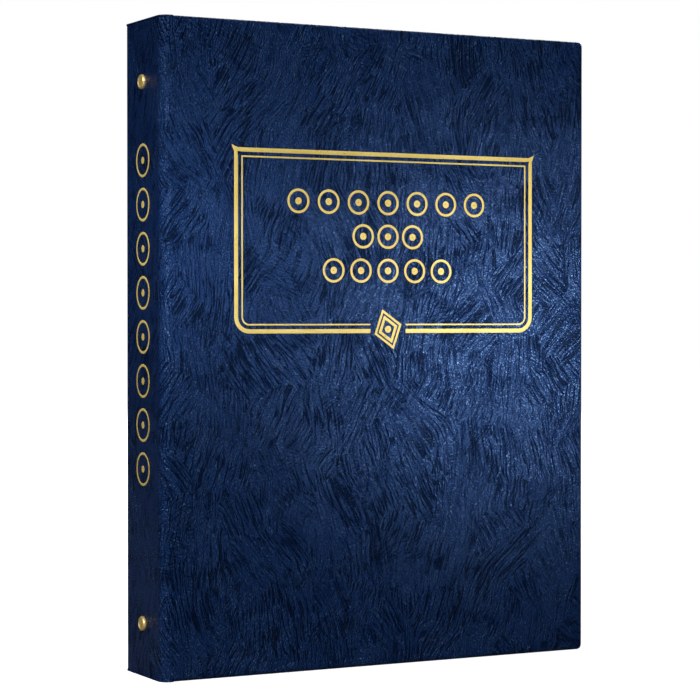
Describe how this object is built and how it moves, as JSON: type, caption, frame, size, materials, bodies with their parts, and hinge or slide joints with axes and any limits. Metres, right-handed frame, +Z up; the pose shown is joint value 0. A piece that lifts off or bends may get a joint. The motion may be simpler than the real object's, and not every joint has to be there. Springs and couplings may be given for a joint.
{
  "type": "coin album",
  "caption": "Book-style coin album: two padded hinged covers on a riveted spine, pages with round coin windows and clear pull-out slides, gold-stamped ornament.",
  "frame": {"origin": "centre of the footprint, on the surface the closed album stands on", "axes": "+Z up along the spine, front cover faces -Y, spine at -X, fore edge at +X"},
  "size_m": [0.1916, 0.038, 0.254],
  "materials": {
    "leatherette": "satin navy leatherette with a fine drag-line wrinkle grain",
    "board": "matt grey binder's board",
    "foam": "thin padding sheet",
    "lining": "matt dark blue lining paper",
    "gold_foil": "stamped gold foil, satin",
    "rivet_brass": "brushed brass",
    "steel": "nickel-plated steel",
    "vinyl_strip": "flexible navy vinyl strip",
    "page_board": "off-white pressed board",
    "page_card": "smooth blue card face",
    "clear_slide": "clear acetate strip"
  },
  "bodies": {
    "spine": {"spine_wrap": "leatherette", "spine_board": "board", "spine_lining": "lining", "spine_foil": "gold_foil", "spine_rivets": "rivet_brass", "binding_channel": "steel", "page_rods": "steel", "rod_clips": "steel"},
    "front_cover": {"front_cover_wrap": "leatherette", "front_cover_foam": "foam", "front_cover_board": "board", "front_cover_lining": "lining", "front_foil": "gold_foil"},
    "back_cover": {"back_cover_wrap": "leatherette", "back_cover_foam": "foam", "back_cover_board": "board", "back_cover_lining": "lining"},
    "page_1": {"page_1_hinge": "vinyl_strip", "page_1_core": "page_board", "page_1_front_card": "page_card", "page_1_back_card": "page_card"},
    "page_1_front_slide_1": {"page_1_front_slide_1": "clear_slide"},
    "page_1_front_slide_2": {"page_1_front_slide_2": "clear_slide"},
    "page_1_front_slide_3": {"page_1_front_slide_3": "clear_slide"},
    "page_1_back_slide_1": {"page_1_back_slide_1": "clear_slide"},
    "page_1_back_slide_2": {"page_1_back_slide_2": "clear_slide"},
    "page_1_back_slide_3": {"page_1_back_slide_3": "clear_slide"},
    "page_2": {"page_2_hinge": "vinyl_strip", "page_2_core": "page_board", "page_2_front_card": "page_card", "page_2_back_card": "page_card"},
    "page_2_front_slide_1": {"page_2_front_slide_1": "clear_slide"},
    "page_2_front_slide_2": {"page_2_front_slide_2": "clear_slide"},
    "page_2_front_slide_3": {"page_2_front_slide_3": "clear_slide"},
    "page_2_back_slide_1": {"page_2_back_slide_1": "clear_slide"},
    "page_2_back_slide_2": {"page_2_back_slide_2": "clear_slide"},
    "page_2_back_slide_3": {"page_2_back_slide_3": "clear_slide"},
    "page_3": {"page_3_hinge": "vinyl_strip", "page_3_core": "page_board", "page_3_front_card": "page_card", "page_3_back_card": "page_card"},
    "page_3_front_slide_1": {"page_3_front_slide_1": "clear_slide"},
    "page_3_front_slide_2": {"page_3_front_slide_2": "clear_slide"},
    "page_3_front_slide_3": {"page_3_front_slide_3": "clear_slide"},
    "page_3_back_slide_1": {"page_3_back_slide_1": "clear_slide"},
    "page_3_back_slide_2": {"page_3_back_slide_2": "clear_slide"},
    "page_3_back_slide_3": {"page_3_back_slide_3": "clear_slide"},
    "page_4": {"page_4_hinge": "vinyl_strip", "page_4_core": "page_board", "page_4_front_card": "page_card", "page_4_back_card": "page_card"},
    "page_4_front_slide_1": {"page_4_front_slide_1": "clear_slide"},
    "page_4_front_slide_2": {"page_4_front_slide_2": "clear_slide"},
    "page_4_front_slide_3": {"page_4_front_slide_3": "clear_slide"},
    "page_4_back_slide_1": {"page_4_back_slide_1": "clear_slide"},
    "page_4_back_slide_2": {"page_4_back_slide_2": "clear_slide"},
    "page_4_back_slide_3": {"page_4_back_slide_3": "clear_slide"}
  },
  "joints": [
    {"name": "front_cover_hinge", "type": "hinge", "parent": "spine", "child": "front_cover", "pos_m": [-0.0938, -0.01815, 0.127], "axis": [0, 0, -1], "range_deg": [0, 180]},
    {"name": "back_cover_hinge", "type": "hinge", "parent": "spine", "child": "back_cover", "pos_m": [-0.0938, 0.01815, 0.127], "axis": [0, 0, 1], "range_deg": [0, 180]},
    {"name": "page_1_turn", "type": "hinge", "parent": "spine", "child": "page_1", "pos_m": [-0.08615, -0.0105, 0.127], "axis": [0, 0, -1], "range_deg": [0, 90]},
    {"name": "page_1_front_slide_1_pull", "type": "slide", "parent": "page_1", "child": "page_1_front_slide_1", "axis": [1, 0, 0], "range_m": [0, 0.145]},
    {"name": "page_1_front_slide_2_pull", "type": "slide", "parent": "page_1", "child": "page_1_front_slide_2", "axis": [1, 0, 0], "range_m": [0, 0.145]},
    {"name": "page_1_front_slide_3_pull", "type": "slide", "parent": "page_1", "child": "page_1_front_slide_3", "axis": [1, 0, 0], "range_m": [0, 0.145]},
    {"name": "page_1_back_slide_1_pull", "type": "slide", "parent": "page_1", "child": "page_1_back_slide_1", "axis": [1, 0, 0], "range_m": [0, 0.145]},
    {"name": "page_1_back_slide_2_pull", "type": "slide", "parent": "page_1", "child": "page_1_back_slide_2", "axis": [1, 0, 0], "range_m": [0, 0.145]},
    {"name": "page_1_back_slide_3_pull", "type": "slide", "parent": "page_1", "child": "page_1_back_slide_3", "axis": [1, 0, 0], "range_m": [0, 0.145]},
    {"name": "page_2_turn", "type": "hinge", "parent": "spine", "child": "page_2", "pos_m": [-0.08615, -0.0035, 0.127], "axis": [0, 0, -1], "range_deg": [0, 45]},
    {"name": "page_2_front_slide_1_pull", "type": "slide", "parent": "page_2", "child": "page_2_front_slide_1", "axis": [1, 0, 0], "range_m": [0, 0.145]},
    {"name": "page_2_front_slide_2_pull", "type": "slide", "parent": "page_2", "child": "page_2_front_slide_2", "axis": [1, 0, 0], "range_m": [0, 0.145]},
    {"name": "page_2_front_slide_3_pull", "type": "slide", "parent": "page_2", "child": "page_2_front_slide_3", "axis": [1, 0, 0], "range_m": [0, 0.145]},
    {"name": "page_2_back_slide_1_pull", "type": "slide", "parent": "page_2", "child": "page_2_back_slide_1", "axis": [1, 0, 0], "range_m": [0, 0.145]},
    {"name": "page_2_back_slide_2_pull", "type": "slide", "parent": "page_2", "child": "page_2_back_slide_2", "axis": [1, 0, 0], "range_m": [0, 0.145]},
    {"name": "page_2_back_slide_3_pull", "type": "slide", "parent": "page_2", "child": "page_2_back_slide_3", "axis": [1, 0, 0], "range_m": [0, 0.145]},
    {"name": "page_3_turn", "type": "hinge", "parent": "spine", "child": "page_3", "pos_m": [-0.08615, 0.0035, 0.127], "axis": [0, 0, 1], "range_deg": [0, 45]},
    {"name": "page_3_front_slide_1_pull", "type": "slide", "parent": "page_3", "child": "page_3_front_slide_1", "axis": [1, 0, 0], "range_m": [0, 0.145]},
    {"name": "page_3_front_slide_2_pull", "type": "slide", "parent": "page_3", "child": "page_3_front_slide_2", "axis": [1, 0, 0], "range_m": [0, 0.145]},
    {"name": "page_3_front_slide_3_pull", "type": "slide", "parent": "page_3", "child": "page_3_front_slide_3", "axis": [1, 0, 0], "range_m": [0, 0.145]},
    {"name": "page_3_back_slide_1_pull", "type": "slide", "parent": "page_3", "child": "page_3_back_slide_1", "axis": [1, 0, 0], "range_m": [0, 0.145]},
    {"name": "page_3_back_slide_2_pull", "type": "slide", "parent": "page_3", "child": "page_3_back_slide_2", "axis": [1, 0, 0], "range_m": [0, 0.145]},
    {"name": "page_3_back_slide_3_pull", "type": "slide", "parent": "page_3", "child": "page_3_back_slide_3", "axis": [1, 0, 0], "range_m": [0, 0.145]},
    {"name": "page_4_turn", "type": "hinge", "parent": "spine", "child": "page_4", "pos_m": [-0.08615, 0.0105, 0.127], "axis": [0, 0, 1], "range_deg": [0, 90]},
    {"name": "page_4_front_slide_1_pull", "type": "slide", "parent": "page_4", "child": "page_4_front_slide_1", "axis": [1, 0, 0], "range_m": [0, 0.145]},
    {"name": "page_4_front_slide_2_pull", "type": "slide", "parent": "page_4", "child": "page_4_front_slide_2", "axis": [1, 0, 0], "range_m": [0, 0.145]},
    {"name": "page_4_front_slide_3_pull", "type": "slide", "parent": "page_4", "child": "page_4_front_slide_3", "axis": [1, 0, 0], "range_m": [0, 0.145]},
    {"name": "page_4_back_slide_1_pull", "type": "slide", "parent": "page_4", "child": "page_4_back_slide_1", "axis": [1, 0, 0], "range_m": [0, 0.145]},
    {"name": "page_4_back_slide_2_pull", "type": "slide", "parent": "page_4", "child": "page_4_back_slide_2", "axis": [1, 0, 0], "range_m": [0, 0.145]},
    {"name": "page_4_back_slide_3_pull", "type": "slide", "parent": "page_4", "child": "page_4_back_slide_3", "axis": [1, 0, 0], "range_m": [0, 0.145]}
  ],
  "couplings": [
    {"joint": "page_1_turn", "follows": "front_cover_hinge", "ratio": 0.5},
    {"joint": "page_2_turn", "follows": "front_cover_hinge", "ratio": 0.25},
    {"joint": "page_3_turn", "follows": "back_cover_hinge", "ratio": 0.25},
    {"joint": "page_4_turn", "follows": "back_cover_hinge", "ratio": 0.5}
  ]
}
